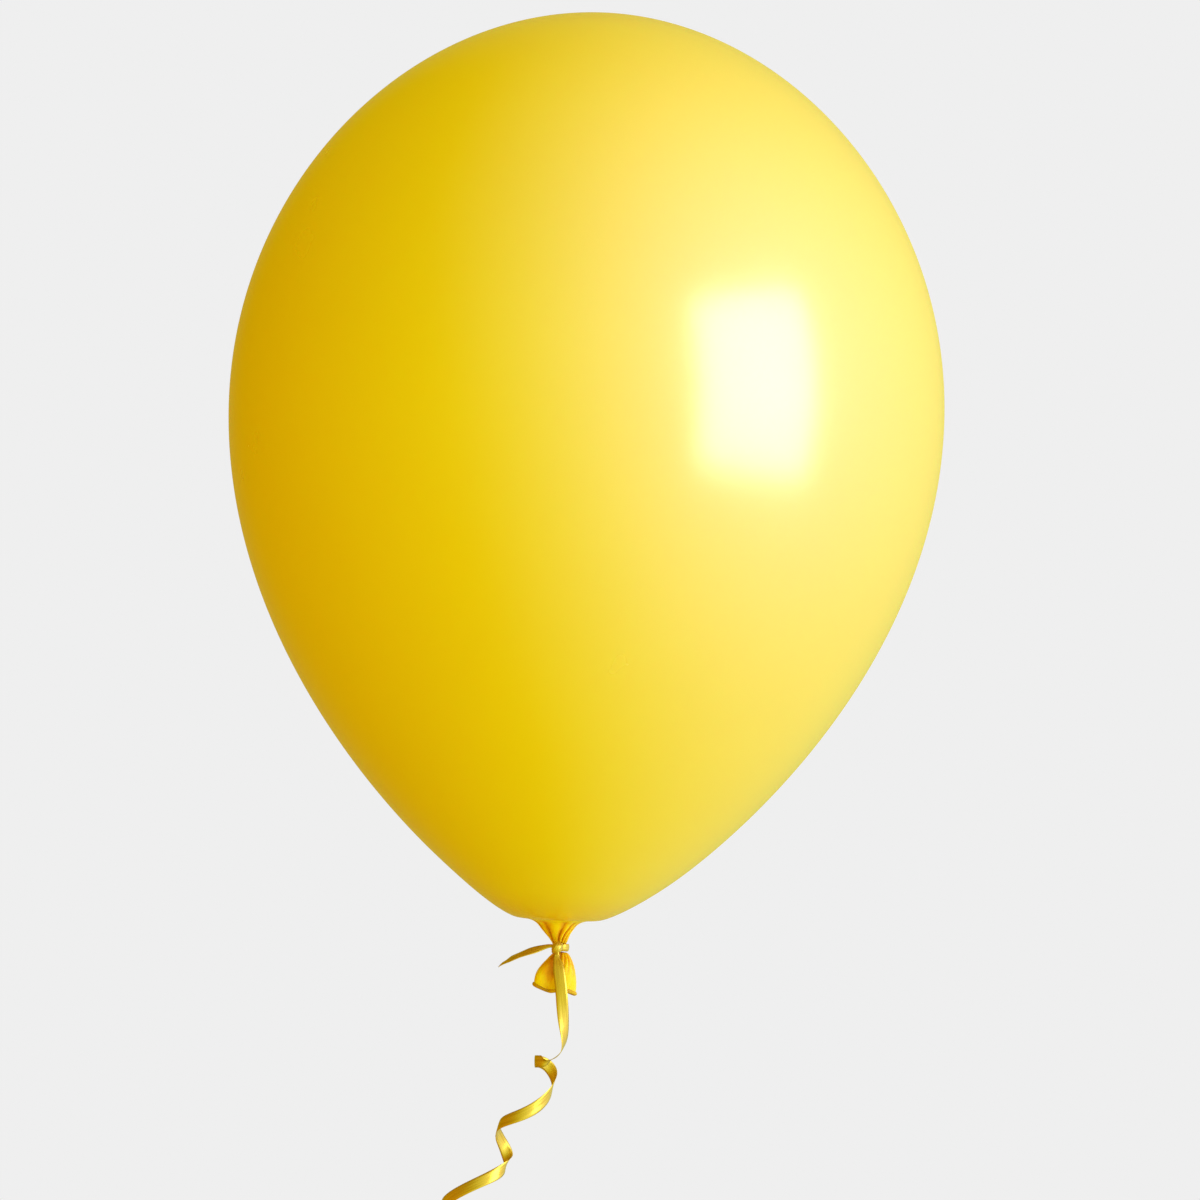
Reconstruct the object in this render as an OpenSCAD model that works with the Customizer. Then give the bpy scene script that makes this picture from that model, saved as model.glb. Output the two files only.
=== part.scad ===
// Inflated latex balloon, tied at the neck with a curling ribbon.
// The origin is the middle of the tie, +Z runs up the balloon's axis and -Y is its front.

/* [Envelope] */
// Diameter of the inflated envelope at its widest ring
envelope_d = 280; // [230:5:340]
// Height of the crown above the tie
crown_h = 365.5; // [300:0.5:440]
// Height of the widest ring above the tie
belly_h = 209; // [175:1:240]
// Wall of the latex, drawn thicker than the real skin
skin = 0.4; // [0.3:0.05:0.8]
// How flat the crown is
crown_fullness = 0.52; // [0.45:0.01:0.65]
// How round the shoulders are
shoulder_fullness = 0.56; // [0.45:0.01:0.65]
// How far the sides run straight down before they turn in
side_fullness = 0.59; // [0.45:0.01:0.7]

/* [Neck] */
// Radius of the ring where the envelope runs into the neck
neck_r = 8.6; // [7:0.1:11]
// Height of that ring above the tie
neck_h = 8.2; // [7:0.1:11]
// Radius of the rubber gathered under the ribbon
gather_r = 2.6; // [2.2:0.1:3.4]
// Height of the neck's bend above the tie
bend_h = 2.4; // [2:0.1:3.5]

/* [Mouth] */
// Radius of the open mouth
mouth_r = 8.6; // [7:0.1:9]
// Length of the skirt between its bend and the rim
skirt_length = 13.2; // [10:0.1:16]
// Wall of the skirt
skirt_wall = 0.5; // [0.4:0.1:0.8]
// Radius of the rolled bead round the mouth
bead_r = 0.75; // [0.6:0.05:1]

/* [Ribbon] */
// Width of the ribbon
ribbon_w = 5; // [4:0.5:6]
// Thickness of the ribbon's short end
ribbon_t = 0.4; // [0.3:0.1:0.6]
// Height of the turns round the neck
wrap_h = 3; // [2.4:0.1:3.6]
// Thickness of the turns round the neck
wrap_t = 0.8; // [0.6:0.1:1.2]
// Radius of the knot, seen from the front
knot_r = 2.8; // [2.4:0.1:3.2]
// Length of the short end, from the middle of the knot
short_length = 24; // [18:1:40]
// Angle by which the short end points below level
short_drop = 20; // [0:1:35]
// Outer diameter of the curled ribbon at its top
curl_top_d = 16; // [13:0.5:20]
// Outer diameter of the curled ribbon at its free end
curl_end_d = 22; // [18:0.5:26]

/* [Hidden] */

latex = "#e9c20a";
latex_deep = "#dfa406";
ribbon = "#d3b02c";

// Clearances: between bodies that move, and round a tight turn of ribbon
gap = 0.3;
tight = 0.05;
round_fn = 96;
small_fn = 48;
bezier_steps = 24;
fillet_steps = 8;

envelope_r = envelope_d / 2;
// The underside turns level at this ring, then rolls down into the neck
under = [neck_r + 6.9, neck_h + 2.3];
under_reach = 10;

bend = [0, 0, bend_h];
socket_r = gather_r + gap;
neck_end_r = socket_r + 0.4;
neck_end_h = bend_h + gap;

wrap_top = bend_h - 1.6;
wrap_bottom = wrap_top - wrap_h;
wrap_r = gather_r + tight + wrap_t;
gather_end_h = wrap_bottom + 0.7;

mouth_ball_r = gather_r - gap;
mouth_bend = [0, 0, gather_end_h - 0.4 - mouth_ball_r];
rim_h = mouth_bend[2] - skirt_length;
hollow_from = 0.12;
skirt_steps = 20;

knot = [-1.5, -wrap_r - 2.4, wrap_bottom + 1.6];
knot_half_depth = 2.4;

// Turn of the short end about its own length, and how far behind the knot's middle it lies
short_turn = 35;
short_back = 0.8;

// Middle line of the hanging strand, from under the knot to the start of the curl
strand_route = [
    [-1.5, -7.2, -4.2], [-1.3, -8.6, -6.5], [-0.8, -10.5, -10.5], [-0.1, -11.8, -14.5],
    [0.7, -12.6, -18.5], [1.7, -12.4, -23.5], [2.8, -11.6, -29], [3.6, -10.9, -33], [4, -10.5, -35.5]
];
// Middle line of the curl, down to the ribbon's free end
curl_route = [
    [4, -10.3, -37.2], [3, -7, -40.5], [0, -2.5, -45], [-4, 1, -51], [-11, 4, -64],
    [-19, 8, -77], [-27, 11, -90], [-35, 15, -104], [-41, 18, -119], [-45, 20, -136],
    [-47, 21, -154], [-48, 21, -173], [-48, 21, -192], [-48, 21, -211], [-48, 21, -228]
];
strand_sides = 8;
curl_sides = 12;
// The ribbon is pinched where it leaves the knot and where it turns into the curl
strand_start_rs = [1.2, 2];
strand_end_r = 0.9;
curl_start_rs = [1.2, 4, 7];

function bezier(p, t) =
    pow(1 - t, 3) * p[0] + 3 * pow(1 - t, 2) * t * p[1] + 3 * (1 - t) * t * t * p[2] + pow(t, 3) * p[3];
function slope(p, t) =
    pow(1 - t, 2) * (p[1] - p[0]) + 2 * (1 - t) * t * (p[2] - p[1]) + t * t * (p[3] - p[2]);
function unit(v) = v / norm(v);
// A point of the curve, moved inward by depth
function inset(p, t, depth) = let (s = unit(slope(p, t))) bezier(p, t) + depth * [s[1], -s[0]];

crown_curve = [
    [0, crown_h], [crown_fullness * envelope_r, crown_h],
    [envelope_r, belly_h + shoulder_fullness * (crown_h - belly_h)], [envelope_r, belly_h]
];
side_curve = [
    [envelope_r, belly_h], [envelope_r, belly_h - side_fullness * (belly_h - under[1])],
    [under[0] + under_reach, under[1]], under
];
roll_curve = [
    under, [neck_r + 3.6, under[1]], [neck_r + 1.5, neck_h + 1.5], [neck_r, neck_h]
];
neck_edge = [
    [neck_r, neck_h], inset(roll_curve, 1, skin)
];

function envelope_side(depth) = [
    for (i = [0 : bezier_steps]) inset(crown_curve, i / bezier_steps, depth),
    for (i = [1 : bezier_steps]) inset(side_curve, i / bezier_steps, depth),
    for (i = [1 : fillet_steps]) inset(roll_curve, i / fillet_steps, depth)
];
function backwards(list) = [for (i = [len(list) - 1 : -1 : 0]) list[i]];

// Radius of the skirt at a share s of its length below its bend
function skirt_r(s) = mouth_ball_r + (mouth_r - mouth_ball_r) * sqrt(s);
function skirt_h(s) = mouth_bend[2] - s * skirt_length;

// Direction of a route at its point i
function heading(route, i) =
    unit(route[min(i + 1, len(route) - 1)] - route[max(i - 1, 0)]);
// A ring of points round point i of a route
function ring(route, i, r, sides) =
    let (t = heading(route, i), u = unit(cross(t, [0, 1, 0])), v = cross(t, u))
    [for (k = [0 : sides - 1]) route[i] + r * (cos(360 * k / sides) * u + sin(360 * k / sides) * v)];

// A closed tube along a route, with a radius for each of its points
module tube(route, radii, sides) {
    last = len(route) - 1;
    points = [for (i = [0 : last]) each ring(route, i, radii[i], sides)];
    start = [for (k = [0 : sides - 1]) k];
    end = [for (k = [sides - 1 : -1 : 0]) last * sides + k];
    walls = [
        for (i = [0 : last - 1], k = [0 : sides - 1])
            let (a = i * sides + k, b = i * sides + (k + 1) % sides)
                each [[a, a + sides, b + sides], [a, b + sides, b]]
    ];
    polyhedron(points, concat([start], walls, [end]));
}

// The inflated skin, a hollow shell open only where the neck closes it
module envelope() {
    color(latex)
        rotate_extrude($fn = round_fn)
            polygon(concat(envelope_side(0), backwards(envelope_side(skin))));
}

// The funnel of pleated rubber between the envelope and the tie
module neck() {
    steps = 12;
    color(latex_deep)
        difference() {
            rotate_extrude($fn = round_fn)
                polygon(concat(
                    [[0, neck_edge[1][1]], neck_edge[1]],
                    [
                        for (i = [0 : steps])
                            let (s = i / steps)
                                [
                                    neck_end_r + (neck_r - neck_end_r) * pow(1 - s, 1.2),
                                    neck_h + (neck_end_h - neck_h) * s
                                ]
                    ],
                    [[0, neck_end_h]]
                ));
            translate(bend) sphere(r = socket_r, $fn = small_fn);
        }
}

// The rubber squeezed together inside the turns of ribbon
module neck_gather() {
    color(latex_deep)
        union() {
            translate(bend) sphere(r = gather_r, $fn = small_fn);
            translate([0, 0, gather_end_h])
                cylinder(r = gather_r, h = bend_h - gather_end_h, $fn = small_fn);
        }
}

// The flared skirt of slack rubber below the tie
module mouth_skirt() {
    outside = [for (i = [0 : skirt_steps]) let (s = i / skirt_steps) [skirt_r(s), skirt_h(s)]];
    inside = [
        for (i = [skirt_steps : -1 : 0])
            let (s = hollow_from + (1 - hollow_from) * i / skirt_steps)
                [skirt_r(s) - skirt_wall * (2 - s), skirt_h(s)]
    ];
    color(latex_deep)
        union() {
            translate(mouth_bend) sphere(r = mouth_ball_r, $fn = small_fn);
            rotate_extrude($fn = round_fn)
                polygon(concat(
                    [[0, mouth_bend[2]]], outside, inside, [[0, skirt_h(hollow_from)]]
                ));
        }
}

// The rolled bead round the mouth
module rim_bead() {
    color(latex_deep)
        rotate_extrude($fn = round_fn)
            translate([mouth_r - skirt_wall / 2, rim_h - bead_r * 0.8])
                intersection() {
                    circle(r = bead_r, $fn = small_fn);
                    translate([-bead_r, -bead_r]) square([2 * bead_r, 1.8 * bead_r]);
                }
}

// Two tight turns of ribbon round the neck
module ribbon_wrap() {
    turn_h = wrap_h / 2;
    color(ribbon)
        rotate_extrude($fn = round_fn)
            union() {
                translate([gather_r + tight, wrap_bottom]) square([wrap_t / 2, wrap_h]);
                for (n = [0, 1])
                    translate([wrap_r - wrap_t / 2, wrap_bottom + (n + 0.5) * turn_h])
                        intersection() {
                            circle(d = turn_h, $fn = small_fn);
                            translate([-wrap_t / 4, -turn_h / 2]) square([wrap_t * 0.75, turn_h]);
                        }
            }
}

// The knot, a round pad about the axis on which both ends of the ribbon swing
module ribbon_knot() {
    steps = 16;
    color(ribbon)
        difference() {
            translate(knot) rotate([90, 0, 0])
                rotate_extrude($fn = small_fn)
                    polygon([
                        for (i = [0 : steps])
                            let (a = 180 * i / steps - 90)
                                [knot_r * pow(cos(a), 0.7), knot_half_depth * sin(a)]
                    ]);
            translate([0, 0, wrap_bottom - wrap_h])
                cylinder(r = wrap_r + tight, h = 3 * wrap_h, $fn = round_fn);
        }
}

// The short end of the ribbon, cut off aslant
module ribbon_short_end() {
    root = knot_r + gap;
    half_w = ribbon_w / 2;
    pinch_w = 0.9;
    color(ribbon)
        translate(knot) rotate([0, -short_drop, 0]) rotate([-short_turn, 0, 0])
            translate([0, short_back, -ribbon_t / 2])
                linear_extrude(ribbon_t)
                    polygon([
                        [-root, -pinch_w], [-root, pinch_w], [-root - 5, half_w],
                        [5 - short_length, half_w], [-short_length, -half_w], [-root - 5, -half_w]
                    ]);
}

// The plain stretch of ribbon that hangs from the knot
module ribbon_strand() {
    last = len(strand_route) - 1;
    pinched = len(strand_start_rs);
    radii = [
        for (i = [0 : last])
            i < pinched ? strand_start_rs[i] : i == last ? strand_end_r : ribbon_w / 2
    ];
    color(ribbon) tube(strand_route, radii, strand_sides);
}

// The room that the curled ribbon fills, down to its free end
module ribbon_curl() {
    last = len(curl_route) - 1;
    wide = len(curl_start_rs);
    radii = [
        for (i = [0 : last])
            i < wide ? curl_start_rs[i]
                     : (curl_top_d + (curl_end_d - curl_top_d) * (i - wide) / (last - wide)) / 2
    ];
    color(ribbon) tube(curl_route, radii, curl_sides);
}

envelope();
neck();
neck_gather();
mouth_skirt();
rim_bead();
ribbon_wrap();
ribbon_knot();
ribbon_short_end();
ribbon_strand();
ribbon_curl();
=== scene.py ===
import math

import bpy
import numpy as np
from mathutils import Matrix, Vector


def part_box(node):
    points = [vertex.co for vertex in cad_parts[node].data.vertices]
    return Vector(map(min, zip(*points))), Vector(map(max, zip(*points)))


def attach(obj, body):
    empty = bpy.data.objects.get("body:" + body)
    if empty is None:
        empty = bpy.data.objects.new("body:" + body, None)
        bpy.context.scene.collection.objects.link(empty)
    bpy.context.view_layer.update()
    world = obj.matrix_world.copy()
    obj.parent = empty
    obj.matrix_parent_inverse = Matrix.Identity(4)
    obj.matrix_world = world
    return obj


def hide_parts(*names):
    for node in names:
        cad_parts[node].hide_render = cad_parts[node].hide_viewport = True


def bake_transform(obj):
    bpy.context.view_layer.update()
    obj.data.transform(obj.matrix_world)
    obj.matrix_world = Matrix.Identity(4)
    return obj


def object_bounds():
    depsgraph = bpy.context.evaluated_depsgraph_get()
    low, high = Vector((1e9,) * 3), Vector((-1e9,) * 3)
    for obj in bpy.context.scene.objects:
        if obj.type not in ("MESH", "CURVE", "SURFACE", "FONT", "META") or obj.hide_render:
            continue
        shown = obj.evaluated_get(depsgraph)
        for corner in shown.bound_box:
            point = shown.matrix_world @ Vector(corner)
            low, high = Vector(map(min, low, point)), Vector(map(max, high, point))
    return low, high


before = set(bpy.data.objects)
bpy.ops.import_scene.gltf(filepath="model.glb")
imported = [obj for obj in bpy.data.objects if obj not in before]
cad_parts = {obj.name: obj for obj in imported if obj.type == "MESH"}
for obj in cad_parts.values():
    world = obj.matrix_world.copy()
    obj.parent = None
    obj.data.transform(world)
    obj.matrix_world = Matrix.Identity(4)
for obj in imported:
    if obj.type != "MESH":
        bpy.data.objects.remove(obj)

MM = 0.001
TURN = 2 * math.pi
scene = bpy.context.scene
cad_low, cad_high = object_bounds()
env_low, env_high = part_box("envelope")


def smooth(x):
    """0 below 0, 1 above 1, and a smooth rise between them."""
    x = np.clip(x, 0, 1)
    return x * x * (3 - 2 * x)


def unit(v):
    return v / np.linalg.norm(v, axis=-1, keepdims=True)


def waves(x, *each):
    """The sum of sine waves, each with its height, its pace and its start."""
    return sum(height * np.sin(pace * x + start) for height, pace, start in each)


# ---------------------------------------------------------------- camera
# The photograph shows the balloon from the front, leaning to the right.
LEAN = math.radians(2.75)
AIM = Vector((8.76, 0, 136)) * MM
CAMERA_DISTANCE = 2.6
VIEW_SPAN = 0.47                        # what the picture spans where the balloon is
SENSOR = 36


def make_camera():
    data = bpy.data.cameras.new("camera")
    data.sensor_width = SENSOR
    data.lens = SENSOR * CAMERA_DISTANCE / VIEW_SPAN
    data.clip_start, data.clip_end = 0.05, 50
    camera = bpy.data.objects.new("camera", data)
    scene.collection.objects.link(camera)
    camera.location = AIM + Vector((0, -CAMERA_DISTANCE, 0))
    camera.rotation_euler = (math.pi / 2, -LEAN, 0)
    scene.camera = camera


make_camera()


# ---------------------------------------------------------------- meshes
def new_piece(name, points, faces, material, uv=None):
    mesh = bpy.data.meshes.new(name)
    mesh.from_pydata([tuple(p) for p in points], [], faces)
    mesh.validate()
    if uv is not None:
        layer = mesh.uv_layers.new(name="UVMap")
        for loop in mesh.loops:
            layer.data[loop.index].uv = uv[loop.vertex_index]
    mesh.shade_smooth()
    mesh.materials.append(material)
    piece = bpy.data.objects.new(name, mesh)
    scene.collection.objects.link(piece)
    return piece


def ring_faces(rows, around):
    """Faces between the rows of a grid of points, each row a closed ring."""
    faces = []
    for a in range(0, (rows - 1) * around, around):
        b = a + around
        for k in range(around):
            n = (k + 1) % around
            faces.append((b + k, b + n, a + n, a + k))
    return faces


def closed_faces(rows, around):
    """The same, with a fan at each end to a point there. Those two points come after the grid's."""
    faces = ring_faces(rows, around)
    top, last = rows * around, (rows - 1) * around
    for k in range(around):
        n = (k + 1) % around
        faces.append((top, k, n))
        faces.append((top + 1, last + n, last + k))
    return faces


def bezier(points, steps, first=0):
    """The points of a cubic curve with four control points, from its first step on."""
    t = np.linspace(0, 1, steps + 1)[first:, None]
    a, b, c, d = np.array(points, float)
    return (1 - t) ** 3 * a + 3 * (1 - t) ** 2 * t * b + 3 * (1 - t) * t * t * c + t ** 3 * d


def arc_length(line):
    """How far along the line each of its points lies. Any columns after the third aren't places."""
    steps = np.linalg.norm(np.diff(line[:, :3], axis=0), axis=1)
    return np.concatenate([[0], np.cumsum(steps)])


def spaced(line, step):
    """The same line with points a step apart."""
    along = arc_length(line)
    at = np.linspace(0, along[-1], max(2, round(along[-1] / step) + 1))
    return np.stack([np.interp(at, along, column) for column in line.T], axis=1)


def resample(points, step):
    """A smooth line through the points, with its own points a step apart."""
    p = np.array(points, float)
    q = np.vstack([2 * p[0] - p[1], p, 2 * p[-1] - p[-2]])
    fine = []
    for a, b, c, d in zip(q, q[1:], q[2:], q[3:]):
        for t in np.arange(0, 1, 0.05):
            fine.append(0.5 * (2 * b + (c - a) * t + (2 * a - 5 * b + 4 * c - d) * t * t
                               + (3 * b - 3 * c + d - a) * t ** 3))
    fine.append(p[-1])
    return spaced(np.array(fine), step)


def round_off(line, reach):
    """The line with its points averaged over that many neighbours on each side, its ends kept."""
    weights = np.hanning(2 * reach + 3)[1:-1]
    ends = 2 * line[0] - line[reach:0:-1], 2 * line[-1] - line[-2:-reach - 2:-1]
    padded = np.vstack([ends[0], line, ends[1]])
    return np.stack([np.convolve(column, weights / weights.sum(), "valid")
                     for column in padded.T], axis=1)


STRIP_CELLS = 6                         # faces across a ribbon's width
EDGE_THINS, EDGE_POWER = 0.55, 8        # a ribbon is thinner by this share at its very edges
CUT_REACH = 3                           # a slanting cut pulls on this many times its own length


def strip(name, line, across, widths, thickness, material, cup=0.0, slant=0.0):
    """A flat ribbon along a line. Across is the direction of its width at each point, cup how far
    its edges stand off its middle as a share of its width, and slant how far its far end is cut
    back on one side."""
    tangent = unit(np.gradient(line, axis=0))
    across = unit(across - (across * tangent).sum(1, keepdims=True) * tangent)
    normal = np.cross(tangent, across)
    along = arc_length(line)
    total = along[-1]
    sides = [2 * k / STRIP_CELLS - 1 for k in range(STRIP_CELLS + 1)]
    profile = [(side, 0.5) for side in sides] + [(side, -0.5) for side in reversed(sides)]
    points, uv = [], []
    for side, face in profile:
        at = along
        if slant:
            cut = CUT_REACH * slant
            at = along - slant * (side + 1) / 2 * smooth((along - total + cut) / cut)
        here = np.stack([np.interp(at, along, column) for column in line.T], axis=1)
        stands_off = cup * widths * side * side
        half_thick = face * thickness * (1 - EDGE_THINS * abs(side) ** EDGE_POWER)
        points.append(here + across * (side * widths / 2)[:, None]
                      + normal * (stands_off + half_thick)[:, None])
        uv.append(np.stack([np.full(len(line), (side + 1) / 2), along / total], axis=1))
    around = len(profile)
    grid = np.stack(points, axis=1).reshape(-1, 3)
    uv = np.stack(uv, axis=1).reshape(-1, 2)
    faces = ring_faces(len(line), around)
    last = (len(line) - 1) * around
    for k in range(STRIP_CELLS):
        j = around - 1 - k
        faces.append((k, k + 1, j - 1, j))
        faces.append((last + j, last + j - 1, last + k + 1, last + k))
    return new_piece(name, grid, faces, material, uv)


# ---------------------------------------------------------------- materials
NOISE_LOW, NOISE_HIGH = 0.3, 0.7        # nearly all of a noise texture lies between these


class Shader:
    """A Principled material with the few texture nodes that the balloon needs. A number's name is
    its socket's, with _ for a space; a word's is its property's."""

    def __init__(self, name, **values):
        self.material = bpy.data.materials.new(name)
        self.material.use_nodes = True
        self.tree = self.material.node_tree
        self.shader = self.tree.nodes["Principled BSDF"]
        self.set(self.shader, values)

    def set(self, node, values):
        for key, value in values.items():
            if isinstance(value, (str, bool)):
                setattr(node, key, value)
            else:
                node.inputs[key.replace("_", " ")].default_value = value

    def node(self, kind, **values):
        made = self.tree.nodes.new(kind)
        self.set(made, values)
        return made

    def link(self, a, b, out=0, into=0):
        self.tree.links.new(a.outputs[out], b.inputs[into])

    def noise(self, place, out, scale, detail, roughness=0.5):
        made = self.node("ShaderNodeTexNoise", Scale=scale, Detail=detail, Roughness=roughness)
        self.link(place, made, out)
        return made

    def ramp(self, source, stops):
        ramp = self.node("ShaderNodeValToRGB")
        elements = ramp.color_ramp.elements
        while len(elements) < len(stops):
            elements.new(0.5)
        for element, (at, colour) in zip(elements, stops):
            element.position = at
            element.color = (*colour, 1)
        self.link(source, ramp)
        return ramp

    def spread(self, source, low, high, to_low, to_high, out=0):
        ranged = self.node("ShaderNodeMapRange", From_Min=low, From_Max=high,
                           To_Min=to_low, To_Max=to_high)
        self.link(source, ranged, out)
        return ranged

    def colour(self, source, out=0):
        self.link(source, self.shader, out, "Base Color")

    def roughness(self, source, low, high):
        rough = self.spread(source, NOISE_LOW, NOISE_HIGH, low, high)
        self.link(rough, self.shader, 0, "Roughness")

    def bump(self, source, distance, strength=1.0):
        made = self.node("ShaderNodeBump", Strength=strength, Distance=distance)
        self.link(source, made, 0, "Height")
        self.link(made, self.shader, 0, "Normal")


MIX_A, MIX_B, MIX_RESULT = 6, 7, 2      # a Mix node's sockets for colours
DEEP_BY_NECK = 16 * MM                  # how far up from the neck the skin is deeper in tone
CROWN_TOP, DEEP_BY_CROWN = env_high.z + 1 * MM, 12 * MM
RIPPLE_HEIGHT, DUST_SHARE = 0.12 * MM, 0.06
FOLD_WRINKLE, FOLD_CLOUD = 0.2 * MM, 0.12    # a cloudy tone counts as this much of a depth
RIBBON_GRAIN, GRAINS_ACROSS = 0.03 * MM, 6


def stretched_latex(name, base, cloudy, deep, gloss):
    """The blown skin: a cloudy tone, fine dust and faint ripples. The rubber is least stretched at
    the crown and by the neck, so it's deepest in tone there."""
    s = Shader(name, Roughness=gloss, IOR=1.6, Specular_IOR_Level=1.0, Subsurface_Weight=0.25,
               Subsurface_Scale=0.0012, Subsurface_Radius=(1.0, 0.55, 0.12))
    place = s.node("ShaderNodeTexCoord")
    cloud = s.noise(place, "Object", scale=9.0, detail=3.0, roughness=0.45)
    tone = s.ramp(cloud, [(NOISE_LOW, cloudy), (NOISE_HIGH, base)])
    apart = s.node("ShaderNodeSeparateXYZ")
    s.link(place, apart, "Object")
    bottom = s.spread(apart, env_low.z, env_low.z + DEEP_BY_NECK, 1.0, 0.0, "Z")
    top = s.spread(apart, CROWN_TOP - DEEP_BY_CROWN, CROWN_TOP, 0.0, 0.5, "Z")
    bottom.interpolation_type = top.interpolation_type = "SMOOTHSTEP"
    both = s.node("ShaderNodeMath", operation="MAXIMUM")
    s.link(bottom, both)
    s.link(top, both, 0, 1)
    mixed = s.node("ShaderNodeMix", data_type="RGBA")
    s.link(both, mixed)
    s.link(tone, mixed, 0, MIX_A)
    mixed.inputs[MIX_B].default_value = (*deep, 1)
    s.colour(mixed, MIX_RESULT)
    ripple = s.noise(place, "Object", scale=14.0, detail=4.0, roughness=0.55)
    dust = s.noise(place, "Object", scale=1400.0, detail=1.0)
    s.roughness(ripple, gloss * 0.88, gloss * 1.15)
    height = s.node("ShaderNodeMath", operation="MULTIPLY_ADD")
    height.inputs[1].default_value = DUST_SHARE
    s.link(dust, height)
    s.link(ripple, height, 0, 2)
    s.bump(height, RIPPLE_HEIGHT)
    return s.material


def gathered_latex(name, ridge, flank, valley, gloss):
    """Slack rubber: the same skin, painted far deeper in tone in its valleys as painted shade. The
    map's second value is how deep a point lies in its fold, and so how much painted shade it takes."""
    s = Shader(name, Roughness=gloss, IOR=1.5, Specular_IOR_Level=0.25,
               Specular_Tint=(1, 0.75, 0.2, 1), Subsurface_Weight=0.3, Subsurface_Scale=0.001,
               Subsurface_Radius=(1.0, 0.5, 0.1))
    place = s.node("ShaderNodeTexCoord")
    folds = s.node("ShaderNodeUVMap", uv_map="UVMap")
    apart = s.node("ShaderNodeSeparateXYZ")
    s.link(folds, apart)
    cloud = s.noise(place, "Object", scale=300.0, detail=3.0)
    depth = s.node("ShaderNodeMath", operation="ADD")
    s.link(apart, depth, "Y")
    shift = s.spread(cloud, NOISE_LOW, NOISE_HIGH, -FOLD_CLOUD, FOLD_CLOUD)
    s.link(shift, depth, 0, 1)
    # Painted shade: the ridges keep the rubber's colour, and the flanks and valleys are painted
    # darker as shade
    s.colour(s.ramp(depth, [(0.12, ridge), (0.45, flank), (0.85, valley)]))
    wrinkle = s.noise(place, "Object", scale=420.0, detail=3.0)
    s.roughness(wrinkle, gloss * 0.85, gloss * 1.2)
    s.bump(wrinkle, FOLD_WRINKLE)
    return s.material


def ribbon_finish(name, tones, gloss, streaks):
    """Curling ribbon: satin plastic with metal in it, drawn out lengthwise, so its streaks run
    along it. The map runs once over each piece, and streaks is how many it holds end to end."""
    s = Shader(name, Roughness=gloss, IOR=1.5, Metallic=0.72, Specular_IOR_Level=0.75)
    place = s.node("ShaderNodeUVMap", uv_map="UVMap")
    stretch = s.node("ShaderNodeMapping", Scale=(GRAINS_ACROSS, streaks, 1))
    s.link(place, stretch)
    grain = s.noise(stretch, "Vector", scale=1.0, detail=2.0)
    s.colour(s.ramp(grain, [(0.25, tones[0]), (0.5, tones[1]), (0.8, tones[2])]))
    s.roughness(grain, gloss * 0.8, gloss * 1.25)
    s.bump(grain, RIBBON_GRAIN, 0.4)
    return s.material


SKIN_TONES = ((0.87, 0.61, 0.003), (0.85, 0.585, 0.002), (0.82, 0.50, 0.002))
# The neck's and the bead's colours run from the rubber's own on the ridges to painted shade in the
# valleys
NECK_TONES_AND_SHADE = ((0.90, 0.64, 0.004), (0.83, 0.42, 0.002), (0.60, 0.21, 0.001))
BEAD_TONES_AND_SHADE = ((0.72, 0.44, 0.003), (0.55, 0.28, 0.002), (0.30, 0.13, 0.001))
RIBBON_TONES = ((0.48, 0.31, 0.015), (0.60, 0.41, 0.025), (0.70, 0.51, 0.05))
skin_latex = stretched_latex("latex_skin", *SKIN_TONES, gloss=0.24)
neck_latex_shaded = gathered_latex("latex_neck", *NECK_TONES_AND_SHADE, gloss=0.36)
bead_latex_shaded = gathered_latex("latex_bead_shaded", *BEAD_TONES_AND_SHADE, gloss=0.36)
ribbon_long = ribbon_finish("ribbon_long", RIBBON_TONES, gloss=0.26, streaks=60)
ribbon_small = ribbon_finish("ribbon_small", RIBBON_TONES, gloss=0.30, streaks=5)


# ---------------------------------------------------------------- hanging ribbon
RIBBON_W = 4.7 * MM
RIBBON_T = 0.2 * MM
# The middle line of the strand in mm, from inside the knot, within a millimetre of part.scad's
STRAND_ROUTE = [
    (-1.5, -6.4, -1.4), (-1.5, -7.2, -4.2), (-0.9, -8.6, -6.5), (-0.1, -10.5, -10.5),
    (0.6, -11.8, -14.5), (1.2, -12.6, -18.5), (1.8, -12.4, -23.5), (2.5, -11.6, -29),
    (3.0, -11.1, -32.5),
]
STRAND_STEP, RIBBON_STEP = 0.8, 0.75
# The curl, in mm and radians: its axis first slants to the left and the back in wide turns, then
# hangs in tight ringlets. Each turn is wide back (cosine) and right (sine); the curl changes from
# one set of these to the next at these angles, over these soft spans.
CURL_START, CURL_END, CURL_STEP = 3.6, 93.0, TURN / 72
AXIS_AT_START = (4.6, -4.0, -35.1)
WIDE_STEP, TIGHT_STEP = (-2.73, 1.35, -5.07), (0.0, 0.0, -1.3)   # the axis's way in a radian
FIRST_BACK, FIRST_RIGHT, FIRST_LAG = (-3.2, 7.0, 3.1), (7.3, 0.0, 3.9), 0.6
NEXT_BACK, NEXT_RIGHT, NEXT_LAG = (2.2, 7.0, -1.1), (5.5, 0.0, -0.7), -0.2
RINGLET = 10.5
# Ringlets are never quite alike: waves change their radius, and shift their axis in x, y and z
UNEVEN = ((0.05, 0.37, 1), (0.03, 0.83, 0))
DRIFT = ((0.8, 0.21, 0), (0.7, 0.17, math.pi / 2), (0.5, 0.6, 0))
NEXT_AT, NEXT_SOFT = 9.4, 0.8
RINGLETS_FROM, RINGLETS_SOFT = 14.5, 5.0
HANGS_FROM, HANGS_SOFT = 16.5, 14.0
# The lead from the strand runs into this point of the curl; how far it keeps each end's direction
JOINED, LEAD_LEAVES, LEAD_ARRIVES, LEAD_STEPS = 15, 0.75, 0.33, 24
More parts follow.
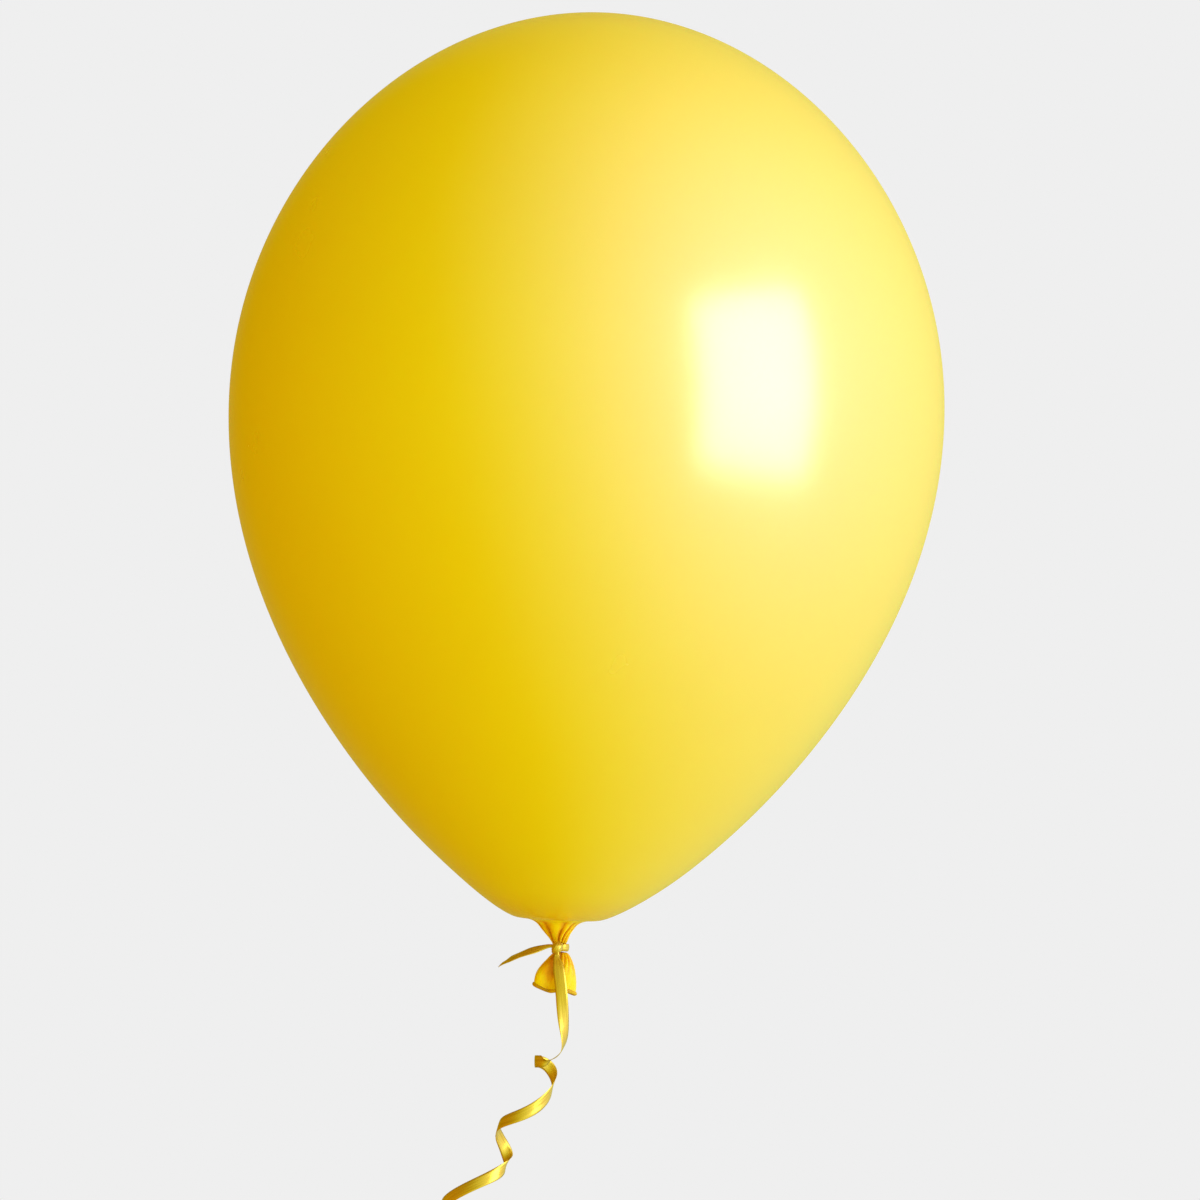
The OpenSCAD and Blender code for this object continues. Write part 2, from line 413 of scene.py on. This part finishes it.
# The strand faces the front down to this height, in mm, and is side-on this far below it
FACES_TO, SIDE_ON_AFTER, TWIST_POWER = -14.0, 27.0, 1.6
TWIST_START, TWIST_BY = math.radians(-10), math.radians(100)
LIES_FROM = 0.62                        # the share of the lead where it starts to lie as the curl
LEANS_OVER = np.array((0, -0.5, -0.4))  # of the wide turns, to the front
PINCH, PINCH_LENGTH = 0.34, 9           # its width where it leaves the knot, as a share


def curl_points():
    """The curl's middle line in mm, the direction of its axis, and how tightly it's wound, from
    0 to 1."""
    t = np.arange(CURL_START, CURL_END, CURL_STEP)
    later = (1 / (1 + np.exp((NEXT_AT - t) / NEXT_SOFT)))[:, None]
    tight = smooth((t - RINGLETS_FROM) / RINGLETS_SOFT)[:, None]
    hangs = smooth((t - HANGS_FROM) / HANGS_SOFT)[:, None]

    def mixed(first, after, last):
        wide = (1 - later) * np.array(first) + later * np.array(after)
        return wide * (1 - tight) + tight * np.array(last)

    step = (1 - hangs) * np.array(WIDE_STEP) + hangs * np.array(TIGHT_STEP)
    axis = np.array(AXIS_AT_START) + np.cumsum(step, axis=0) * (t[1] - t[0])
    back = mixed(FIRST_BACK, NEXT_BACK, (0, RINGLET, 0))
    right = mixed(FIRST_RIGHT, NEXT_RIGHT, (RINGLET, 0, 0))
    lag = mixed([FIRST_LAG], [NEXT_LAG], [0])[:, 0]
    uneven = 1 + tight * waves(t, *UNEVEN)[:, None]
    drift = hangs * np.stack([waves(t, wave) for wave in DRIFT], axis=1)
    depth = np.stack([np.cos(t), np.cos(t - lag), np.cos(t)], axis=1)
    line = axis + drift + uneven * (depth * back + np.sin(t)[:, None] * right)
    return line, unit(step), tight


def curl_width_way(curl, axis, tight):
    """The direction of the ribbon's width along the curl. The ribbon bends only about its own
    width, so that lies square to the bend; the wide turns lean over a little to the front."""
    ahead = np.gradient(curl, axis=0)
    bent = np.cross(ahead, np.gradient(ahead, axis=0))
    way = unit(round_off(unit(bent), 5))
    way *= np.sign((way * axis).sum(1, keepdims=True))
    return unit(way + LEANS_OVER * (1 - tight))


def hanging_ribbon():
    """The ribbon's piece and its middle line in metres."""
    curl, curl_axis, tight = curl_points()
    width_way = curl_width_way(curl, curl_axis, tight)
    strand = resample(STRAND_ROUTE, STRAND_STEP)
    # A short curve leads from the strand into the curl
    start, end = strand[-1], curl[JOINED]
    leave, arrive = unit(strand[-1] - strand[-3]), unit(curl[JOINED + 1] - curl[JOINED - 1])
    reach = np.linalg.norm(end - start)
    lead = bezier([start, start + LEAD_LEAVES * reach * leave,
                   end - LEAD_ARRIVES * reach * arrive, end], LEAD_STEPS)
    line = np.vstack([strand[:-1], lead[:-1]])
    # It faces the front under the knot, twists side-on further down, and then lies as its curl does
    side_on = np.clip((FACES_TO - line[:, 2]) / SIDE_ON_AFTER, 0, 1) ** TWIST_POWER
    twist = TWIST_START + TWIST_BY * side_on
    facing = np.stack([np.cos(twist), np.sin(twist), 0 * twist], axis=1)
    share = smooth((np.linspace(0, 1, LEAD_STEPS)[:, None] - LIES_FROM) / (1 - LIES_FROM))
    facing[len(strand) - 1:] += share * (width_way[JOINED] - facing[len(strand) - 1:])
    line = np.vstack([line, curl[JOINED:]])
    across = np.vstack([facing, width_way[JOINED:]])
    data = spaced(np.hstack([line, across]), RIBBON_STEP)
    line, across = round_off(data[:, :3], 3), round_off(data[:, 3:], 3)
    widths = RIBBON_W * (PINCH + (1 - PINCH) * smooth(arc_length(line) / PINCH_LENGTH))
    piece = strip("ribbon_hanging", line * MM, across, widths, RIBBON_T, ribbon_long,
                  cup=-0.02, slant=4 * MM)
    return piece, line * MM


ribbon_piece, ribbon_line = hanging_ribbon()
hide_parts("ribbon_strand", "ribbon_curl")
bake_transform(ribbon_piece)


# ---------------------------------------------------------------- latex
# The balloon's outline, in mm: its widest ring, its neck, and the ring under it where its
# underside turns level before it rolls down into the neck
BELLY_R, BELLY_H = env_high.x / MM, 209.0
CROWN_H, NECK_H = env_high.z / MM, env_low.z / MM
NECK_R = 7.6
UNDER = (NECK_R + 7.9, NECK_H + 2.3)
CROWN_FLAT, SHOULDER, SIDE_FULL, UNDER_REACH = 0.52, 0.56, 0.582, 14
CROWN_CURVE = [(0, CROWN_H), (CROWN_FLAT * BELLY_R, CROWN_H),
               (BELLY_R, BELLY_H + SHOULDER * (CROWN_H - BELLY_H)), (BELLY_R, BELLY_H)]
SIDE_CURVE = [(BELLY_R, BELLY_H), (BELLY_R, BELLY_H - SIDE_FULL * (BELLY_H - UNDER[1])),
              (UNDER[0] + UNDER_REACH, UNDER[1]), UNDER]
ROLL_CURVE = [UNDER, (NECK_R + 3.6, UNDER[1]), (NECK_R + 1.5, NECK_H + 1.5), (NECK_R, NECK_H)]
SKIN_T = 0.4
AROUND_SKIN, AROUND_NECK = 288, 264
# The neck leaves the balloon a little to the left of its middle, and comes back towards the tie
NECK_SHIFT, SHIFT_REACH, SHIFT_BACK = -1.9, 42, 1.2
UNDERSIDE_H = 60                        # everything lower than this is the underside
PLEATS, PLEATS_REACH, SKIN_PLEAT = 11, 11, 0.07
PLEATS_UNEVEN = ((1.4, 2, 0.6), (1.1, 3, 2.0))
# Down the funnel the pleats get deeper by the first of these, and at the tie they get shallower
# by the second
FUNNEL_PLEAT, TIE_PLEAT = 0.20, 0.06
NECK_TWIST = 0.5                        # how far the pleats turn down the funnel, in radians
NECK_OVAL = 0.04
SPREAD_GAP = 0.14                       # how closely the funnel's top lies over the skin


def pleat_valleys(angle, twist=0.0):
    """0 on the ridge of a pleat of gathered rubber and 1 in the sharp valley between two of them.
    Slow waves make the pleats unlike each other."""
    a = angle + twist
    wave = np.cos(PLEATS * a + waves(a, *PLEATS_UNEVEN))
    return 1 - np.sqrt(0.5 + 0.5 * wave + 1e-9)


def revolve(outline, around, bulge, shift):
    """Points of an outline (radius, height) turned round the axis; bulge gives each point's share
    of its radius, and shift how far it's off to the right."""
    angle = np.arange(around) * TURN / around
    r, z = outline[:, :1], outline[:, 1:]
    radius = r * bulge(angle[None, :], r, z)
    x = radius * np.cos(angle) + shift(r, z)
    return np.stack([x, radius * np.sin(angle), z + 0 * radius], axis=2).reshape(-1, 3) * MM


def offset_inside(outline, depth):
    tangent = unit(np.gradient(outline, axis=0))
    moved = outline + depth * np.stack([tangent[:, 1], -tangent[:, 0]], axis=1)
    moved[:, 0] = np.maximum(moved[:, 0], 0)
    return moved


def near_neck(r):
    """Pleats fade out away from the neck: 1 at its radius and 0 past their reach."""
    return smooth((NECK_R + PLEATS_REACH - r) / PLEATS_REACH)


def envelope_bulge(angle, r, z):
    return 1 - SKIN_PLEAT * near_neck(r) * (z < UNDERSIDE_H) * pleat_valleys(angle)


def envelope_shift(r, z):
    return NECK_SHIFT * smooth((NECK_R + SHIFT_REACH - r) / SHIFT_REACH) * (z < UNDERSIDE_H)


def make_envelope():
    outline = np.vstack([bezier(CROWN_CURVE, 90), bezier(SIDE_CURVE, 100, 1),
                         bezier(ROLL_CURVE, 16, 1)])
    inside = offset_inside(outline, SKIN_T)[::-1]
    # The outline's first point and the inside's last are on the axis, so each is one point
    rows = np.vstack([outline[1:], inside[:-1]])
    points = np.vstack([revolve(rows, AROUND_SKIN, envelope_bulge, envelope_shift),
                        [[0, 0, outline[0, 1] * MM], [0, 0, inside[-1, 1] * MM]]])
    piece = new_piece("envelope_skin", points, closed_faces(len(rows), AROUND_SKIN), skin_latex)
    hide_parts("envelope")
    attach(piece, "balloon")


def down_neck(z):
    """The share of the way down from the skin to the middle of the tie."""
    return (NECK_H - z) / NECK_H


def neck_fold_shade(angle, r, z):
    """How much painted shade a point of the funnel gets, from 0 to 1: a little all over, more in
    the valleys of its pleats and further down, and none where it spreads out under the balloon.
    """
    down = down_neck(z)
    away = smooth((NECK_R + 6 - r) / 6)
    valleys = pleat_valleys(angle, NECK_TWIST * smooth(down))
    return away * ((0.75 + 0.25 * smooth(down / 0.5)) * valleys + 0.15)


def neck_bulge(angle, r, z):
    """The pleats fade out where the funnel spreads out under the balloon, as the skin's do."""
    down = down_neck(z)
    depth = (SKIN_PLEAT + FUNNEL_PLEAT * smooth(down / 0.45)
             - TIE_PLEAT * smooth((down - 0.7) / 0.4))
    spread = np.where(z > NECK_H, near_neck(r), 1)
    oval = NECK_OVAL * smooth(down) * np.cos(2 * angle + 1)
    return 1 - spread * depth * pleat_valleys(angle, NECK_TWIST * smooth(down)) + oval


def neck_shift(r, z):
    in_funnel = NECK_SHIFT + SHIFT_BACK * smooth(down_neck(z))
    return envelope_shift(r, z) * (z > NECK_H) + in_funnel * (z <= NECK_H)


def make_neck():
    wrap_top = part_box("ribbon_wrap")[1].z / MM
    gather_low, gather_high = (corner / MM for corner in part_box("neck_gather"))
    gather_r, narrow_r = gather_high.x, gather_high.x + 0.75
    # Its top spreads out under the balloon, closely over the skin there, so that no seam shows
    spread = offset_inside(bezier(ROLL_CURVE, 24), -SPREAD_GAP)[5:]
    wide_r, wide_z = spread[-1]
    funnel = [(narrow_r + (wide_r - narrow_r) * (1 - s) ** 1.15,
               wide_z + (wrap_top + 1.2 - wide_z) * s) for s in np.linspace(0, 1, 26)[1:]]
    lid = [(0, NECK_H + 1.2), (NECK_R - 1.2, NECK_H + 1.2), spread[0] + (0, 0.3)]
    core = [(gather_r + 0.2, wrap_top + 0.3), (gather_r, wrap_top - 0.4),
            (gather_r, gather_low.z), (0, gather_low.z - 0.5)]
    outline = np.vstack([lid, spread, funnel, core])
    angle = np.arange(AROUND_NECK) * TURN / AROUND_NECK
    rows, r, z = outline[1:-1], outline[1:-1, :1], outline[1:-1, 1:]
    ends = [[neck_shift(0, end) * MM, 0, end * MM] for end in (outline[0, 1], outline[-1, 1])]
    points = np.vstack([revolve(rows, AROUND_NECK, neck_bulge, neck_shift), ends])
    # The map's second value is the painted shade in the funnel's folds
    depth = neck_fold_shade(angle[None, :], r, z)
    uv = [(k % AROUND_NECK / AROUND_NECK, d) for k, d in enumerate(depth.ravel())]
    uv += [(0, 0.5), (0, 0.5)]
    faces = closed_faces(len(rows), AROUND_NECK)
    piece = new_piece("neck_pleats", points, faces, neck_latex_shaded, uv)
    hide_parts("neck", "neck_gather")
    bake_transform(piece)


make_envelope()
make_neck()

# The slack mouth, in mm: a funnel of soft folds that open towards its rim and lean to the left
SKIRT_TOP, SKIRT_LENGTH, SKIRT_TOP_R, MOUTH_R = -2.6, 14.6, 2.3, 7.636
SKIRT_T, MOUTH_LEAN = 0.45, (-2.2, 0.4)
HOLLOW_FROM = 0.16                      # the share of the skirt's length where it opens inside
# Two deep folds, and a hollow on the right below the tie: their angle and width in radians, and
# how far they go in as a share of the radius
FRONT_FOLD, FRONT_IN = (math.radians(-112), 0.46), 0.40
BACK_FOLD, BACK_IN = (math.radians(75), 0.5), 0.26
RIGHT_HOLLOW, RIGHT_IN = (0.1, 0.8), 0.22
SKIRT_LOBES = ((0.06, 3, 0.9 + math.pi / 2), (0.05, 5, math.pi / 2 - 0.4))
SKIRT_FULL, SKIRT_BELLY = 0.08, 0.24    # fuller by the first all over, and by the second half-way
SKIRT_PLEAT, RIM_PLEAT = 0.20, 0.03     # how deep its fine pleats are at its top and near its rim
HEM_SLOPE, HEM_WAVE, HEM_DIP = -0.15, (0.5, 3, 2.4 + math.pi / 2), 0.6
BEAD_R, BEAD_SIDES = 0.74, 20
BEAD_LUMPS, BEAD_ROLLS = ((0.09, 4, 0), (0.06, 7, 1)), 0.05
BEAD_SHADE_LEFT = (math.pi, 0.7)            # angle and width of the bead's painted shade, on its left away from the light
AROUND_MOUTH = 240


def bell(angle, middle, width):
    """1 at an angle and falling off on both sides of it."""
    return np.exp(-((np.mod(angle - middle + math.pi, TURN) - math.pi) / width) ** 2)


def skirt_pleats(s, angle):
    return pleat_valleys(angle, 0.3 + 0.5 * s)


def skirt_fold_shade(s, angle):
    """How much painted shade a point gets, from 0 to 1: in the fine pleats by the tie and in the
    two deep folds, less towards the rim.
    """
    gathered = (1 - smooth(s / 0.9)) * (0.25 + 0.55 * skirt_pleats(s, angle))
    folds = 0.85 * bell(angle, *FRONT_FOLD) + 0.6 * bell(angle, *BACK_FOLD)
    return np.clip(gathered + folds * (1 - 0.75 * smooth((s - 0.25) / 0.7)), 0, 1)


def skirt_point(s, angle):
    """A point in mm at a share s of the skirt's length. Its two lobes, left and right, part at the
    deep fold in front, beside the ribbon, and at the shallower one behind."""
    front, behind = bell(angle, *FRONT_FOLD), bell(angle, *BACK_FOLD)
    hollow = bell(angle, *RIGHT_HOLLOW) * (1 - smooth(s / 0.9))
    lobes = (waves(angle, *SKIRT_LOBES) - FRONT_IN * front - BACK_IN * behind
             - RIGHT_IN * hollow + SKIRT_FULL)
    belly = SKIRT_BELLY * np.sin(math.pi * s ** 0.75)
    pleat = SKIRT_PLEAT + (RIM_PLEAT - SKIRT_PLEAT) * smooth(s / 0.6)
    r = (SKIRT_TOP_R + (MOUTH_R - SKIRT_TOP_R) * s ** 0.7) * (
        1 + smooth(s / 0.35) * lobes + belly + pleat * (0.35 - skirt_pleats(s, angle)))
    x = r * np.cos(angle) + MOUTH_LEAN[0] * smooth(s)
    y = r * np.sin(angle) + MOUTH_LEAN[1] * smooth(s)
    hem = HEM_SLOPE * x + waves(angle, HEM_WAVE) - HEM_DIP * front
    z = SKIRT_TOP - SKIRT_LENGTH * s + smooth(s / 0.8) * hem
    return np.stack([x, y, z], axis=-1)


def make_skirt(angle):
    """The skirt, and the middle of its wall along its rim."""
    shares = np.linspace(0, 1, 44) ** 1.15
    outer = np.stack([skirt_point(s, angle) for s in shares])
    across = np.roll(outer, -1, axis=1) - np.roll(outer, 1, axis=1)
    inward = unit(np.cross(across, np.gradient(outer, axis=0)))
    if inward[20, 0] @ (outer[20, 0] * (1, 1, 0)) > 0:
        inward = -inward
    hollow = shares > HOLLOW_FROM
    inner = (outer + inward * SKIRT_T)[hollow][::-1]
    rows = np.vstack([outer, inner])
    ends = [[0, 0, SKIRT_TOP + 0.3], inner[-1].mean(axis=0) + (0, 0, 0.4)]
    points = np.vstack([rows.reshape(-1, 3), ends]) * MM
    # The map's second value is painted shade: in the folds outside, at least 0.6 over the inside of
    # the hollow, and fully dark at the hollow's closed end
    depth = np.stack([skirt_fold_shade(s, angle) for s in shares])
    depth = np.vstack([depth, np.maximum(depth[hollow][::-1], 0.6)]).ravel()
    uv = [(k % AROUND_MOUTH / AROUND_MOUTH, d) for k, d in enumerate(depth)]
    uv += [(0, 0.7), (0, 1)]
    faces = closed_faces(len(rows), AROUND_MOUTH)
    piece = new_piece("mouth_skirt_folds", points, faces, neck_latex_shaded, uv)
    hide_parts("mouth_skirt")
    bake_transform(piece)
    return outer[-1] + inward[-1] * SKIRT_T / 2


def make_bead(angle, rim):
    """The rim rolled up on itself, thicker in some places than in others."""
    tangent = unit(np.roll(rim, -1, axis=0) - np.roll(rim, 1, axis=0))
    out = unit(np.cross(tangent, (0, 0, 1.0)))
    up = np.cross(out, tangent)
    a = (np.arange(BEAD_SIDES) * TURN / BEAD_SIDES)[None, :]
    lumps = waves(angle, *BEAD_LUMPS)[:, None]
    roll = BEAD_R * (1 + lumps + BEAD_ROLLS * np.cos(2 * a + 5 * angle[:, None]))[..., None]
    round_it = np.cos(a)[..., None] * out[:, None] + np.sin(a)[..., None] * up[:, None]
    points = (rim[:, None] + roll * round_it).reshape(-1, 3) * MM
    # The last ring joins up with the first
    faces = ring_faces(AROUND_MOUTH + 1, BEAD_SIDES)
    count = AROUND_MOUTH * BEAD_SIDES
    faces = [tuple(corner % count for corner in reversed(face)) for face in faces]
    # Its tone varies round the rim, with painted shade on its left
    tone = 0.35 + 0.3 * bell(angle, *BEAD_SHADE_LEFT) + 0.15 * np.sin(5 * angle)
    uv = [(k / count, d) for k, d in enumerate(np.repeat(tone, BEAD_SIDES))]
    piece = new_piece("mouth_bead", points, faces, bead_latex_shaded, uv)
    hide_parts("rim_bead")
    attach(piece, "mouth")


mouth_angles = np.arange(AROUND_MOUTH) * TURN / AROUND_MOUTH
make_bead(mouth_angles, make_skirt(mouth_angles))


# ---------------------------------------------------------------- tie
TURNS_FROM, TURNS_TO = -0.15, 2.2       # round the neck, from its front
TURNS_W, TURNS_T = 1.75, 0.5 * MM       # bunched up, so far narrower and thicker than flat
BAND_W, BAND_T = 2.1, 0.4 * MM
KNOT_ROWS, KNOT_AROUND = 40, 64
KNOT_FILLS = (0.86, 0.95, 0.82)         # the share of the knot's box that its core fills
BAND_TILT = math.radians(28)
# The short end, in mm, from inside the knot to its cut
SHORT_ROUTE = [
    (-3.0, -5.6, 0.1), (-5.0, -5.0, -0.1), (-8.5, -4.5, -1.2), (-13, -4.4, -2.7),
    (-18, -4.6, -4.9), (-21.6, -4.8, -7.0), (-24.4, -5.0, -9.0),
]
SHORT_STEP, SHORT_CUT = 0.5, 3 * MM
SHORT_TURN, SHORT_UNTURNS = 66, 42      # about its own length, in degrees


def make_turns():
    """Two tight turns of the ribbon, bunched and lapped over each other."""
    low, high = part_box("ribbon_wrap")
    t = np.linspace(TURNS_FROM, TURNS_TO, 190) * TURN
    share = np.linspace(0, 1, len(t))
    z = low.z / MM + 0.85 + (high.z - low.z) / MM * 0.46 * share + 0.16 * np.sin(3 * t)
    r = high.x / MM - 0.42 - 0.16 * (1 - share) + 0.05 * np.sin(5 * t)
    line = np.stack([r * np.sin(t), -r * np.cos(t), z], axis=1)
    across = np.stack([0.25 * np.sin(t), -0.25 * np.cos(t), 1 + 0 * t], axis=1)
    widths = (TURNS_W + 0.25 * np.sin(2.3 * t)) * MM
    piece = strip("ribbon_turns", line * MM, across, widths, TURNS_T, ribbon_small, cup=-0.1)
    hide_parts("ribbon_wrap")
    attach(piece, "tie")


def make_knot_core(middle, half):
    """The knot's crumpled core."""
    a = (np.arange(1, KNOT_ROWS) * math.pi / KNOT_ROWS)[:, None]
    b = (np.arange(KNOT_AROUND) * TURN / KNOT_AROUND)[None, :]
    n = np.stack([np.sin(a) * np.cos(b), np.cos(a) + 0 * b, np.sin(a) * np.sin(b)], axis=2)
    crease = (0.10 * abs(np.sin(2.5 * b + 3 * n[..., 1]))
              + 0.06 * abs(np.sin(5 * n[..., 0] + 4 * n[..., 2])))
    grid = middle + half * KNOT_FILLS * n * (1 - crease)[..., None]
    tip = np.array((0, half[1] * 0.9, 0))
    points = np.vstack([grid.reshape(-1, 3), middle + tip, middle - tip]) * MM
    uv = [(0.5 + 0.08 * p[2] / MM, 0.3 + 0.03 * p[0] / MM) for p in points]
    faces = closed_faces(KNOT_ROWS - 1, KNOT_AROUND)
    core = new_piece("ribbon_knot_folds", points, faces, ribbon_small, uv)
    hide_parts("ribbon_knot")
    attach(core, "tie")


def make_knot_band(middle, half):
    """A band of ribbon drawn tight over the front of the core, aslant, and tucked in behind it."""
    t = np.linspace(-2.5, 2.5, 90)
    rise = half[2] * 0.9 * np.sin(t)
    line = np.stack([rise * math.sin(BAND_TILT), -(half[1] + 0.25) * np.cos(t),
                     rise * math.cos(BAND_TILT)], axis=1)
    across = np.tile([math.cos(BAND_TILT), 0, -math.sin(BAND_TILT)], (len(t), 1))
    widths = (BAND_W + 0.5 * np.cos(t)) * MM
    band = strip("ribbon_knot_band", (line + middle) * MM, across, widths, BAND_T,
                 ribbon_small, cup=0.06)
    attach(band, "tie")


def make_knot():
    low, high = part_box("ribbon_knot")
    middle, half = np.array((low + high) / 2 / MM), np.array((high - low) / 2 / MM)
    make_knot_core(middle, half)
    make_knot_band(middle, half)


def make_short_tail():
    """The short end: gathered in the knot, then flat, drooping, and cut off to a point."""
    line = resample(SHORT_ROUTE, SHORT_STEP)
    share = np.linspace(0, 1, len(line))
    turn = np.radians(SHORT_TURN - SHORT_UNTURNS * smooth(share / 0.6))
    across = np.stack([0 * turn, np.cos(turn), np.sin(turn)], axis=1)
    gathered = 0.3 + 0.7 * smooth(share / 0.5)
    pointed = 1 - 0.62 * smooth((share - 0.72) / 0.28)
    piece = strip("ribbon_short_tail", line * MM, across, RIBBON_W * gathered * pointed, RIBBON_T,
                  ribbon_small, cup=0.05, slant=SHORT_CUT)
    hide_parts("ribbon_short_end")
    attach(piece, "short_end")


make_turns()
make_knot()
make_short_tail()


# ---------------------------------------------------------------- studio
FLOOR_BELOW, FLOOR_R, FLOOR_CORNERS = 16 * MM, 1.2, 128
BACKDROP = 0.863                        # the pale grey behind the balloon
LOBE_POWER = 4
# Soft light all round: azimuth from the front to the right and elevation in degrees, and radiance.
# The studio is golden on its left, and its blue comes from the right, so a lobe may take some away
# again.
LOBES = [
    (60, 45, (1.17, 1.22, 1.19)), (45, 0, (0.17, 0.22, 1.50)), (90, 0, (0.46, 0.27, 1.20)),
    (0, 0, (0.62, 0.77, -0.23)), (-90, 0, (0.32, 0.15, 0.02)), (-135, 0, (0.36, 0.23, -0.02)),
    (135, 0, (0.48, 0.66, 0.18)), (-60, -45, (0.40, 0.12, 0.01)), (60, -45, (0.55, 0.69, -0.28)),
    (0, 90, (0.16, 0.08, -0.25)),
]


def direction(azimuth, elevation):
    a, e = math.radians(azimuth), math.radians(elevation)
    return Vector((math.sin(a) * math.cos(e), -math.cos(a) * math.cos(e), math.sin(e)))


def make_floor():
    z = cad_low.z - FLOOR_BELOW
    angle = np.arange(FLOOR_CORNERS) * TURN / FLOOR_CORNERS
    points = [(FLOOR_R * math.cos(a), FLOOR_R * math.sin(a), z) for a in angle]
    s = Shader("floor_paper", Roughness=0.9)
    grain = s.noise(s.node("ShaderNodeTexCoord"), "Object", scale=60.0, detail=4.0)
    s.colour(s.ramp(grain, [(NOISE_LOW, (0.75, 0.77, 0.86)), (NOISE_HIGH, (0.79, 0.81, 0.90))]))
    floor = new_piece("floor", points, [tuple(range(FLOOR_CORNERS))], s.material)
    # The floor catches shadows, and the light from below passes it
    floor.visible_diffuse = floor.visible_glossy = False
    floor.visible_transmission = floor.visible_shadow = False


def make_world():
    world = bpy.data.worlds.new("studio")
    scene.world = world
    world.use_nodes = True
    tree = world.node_tree
    tree.nodes.clear()

    def node(kind, operation=None):
        made = tree.nodes.new(kind)
        if operation:
            made.operation = operation
        return made

    def link(a, b, out=0, into=0):
        tree.links.new(a.outputs[out], b.inputs[into])

    # A lobe is ((1 + cosine of the angle to its middle) / 2) ** LOBE_POWER
    way, total = node("ShaderNodeTexCoord"), None
    for azimuth, elevation, radiance in LOBES:
        dot = node("ShaderNodeVectorMath", "DOT_PRODUCT")
        dot.inputs[1].default_value = direction(azimuth, elevation)
        half = node("ShaderNodeMath", "MULTIPLY_ADD")
        half.inputs[1].default_value = half.inputs[2].default_value = 0.5
        power = node("ShaderNodeMath", "POWER")
        power.inputs[1].default_value = LOBE_POWER
        tint = node("ShaderNodeVectorMath", "SCALE")
        tint.inputs[0].default_value = radiance
        link(way, dot)
        link(dot, half, "Value")
        link(half, power)
        link(power, tint, 0, "Scale")
        if total is None:
            total = tint
        else:
            both = node("ShaderNodeVectorMath", "ADD")
            link(total, both)
            link(tint, both, 0, 1)
            total = both
    no_less = node("ShaderNodeVectorMath", "MAXIMUM")
    no_less.inputs[1].default_value = (0, 0, 0)
    link(total, no_less)
    # The camera sees a plain backdrop, and everything else the lobes
    light, seen = node("ShaderNodeBackground"), node("ShaderNodeBackground")
    link(no_less, light)
    seen.inputs["Color"].default_value = (BACKDROP, BACKDROP, BACKDROP, 1)
    path, mix = node("ShaderNodeLightPath"), node("ShaderNodeMixShader")
    link(path, mix, "Is Camera Ray")
    link(light, mix, 0, 1)
    link(seen, mix, 0, 2)
    link(mix, node("ShaderNodeOutputWorld"))


def make_softbox(azimuth, elevation, distance, width, height, radiance):
    """The box that mirrors in the balloon. It lights nothing else: the studio around it does."""
    data = bpy.data.lights.new("softbox", "AREA")
    data.shape = "RECTANGLE"
    data.size, data.size_y = width, height
    data.energy = radiance * math.pi * width * height
    box = bpy.data.objects.new("softbox", data)
    scene.collection.objects.link(box)
    way = direction(azimuth, elevation)
    box.location = Vector((0, 0, BELLY_H * MM)) + way * distance
    box.rotation_euler = way.to_track_quat("Z", "Y").to_euler()
    box.visible_camera = box.visible_diffuse = False


make_floor()
make_world()
make_softbox(azimuth=54, elevation=9, distance=1.4, width=1.0, height=1.03, radiance=5.3)
scene.view_settings.view_transform = "Standard"
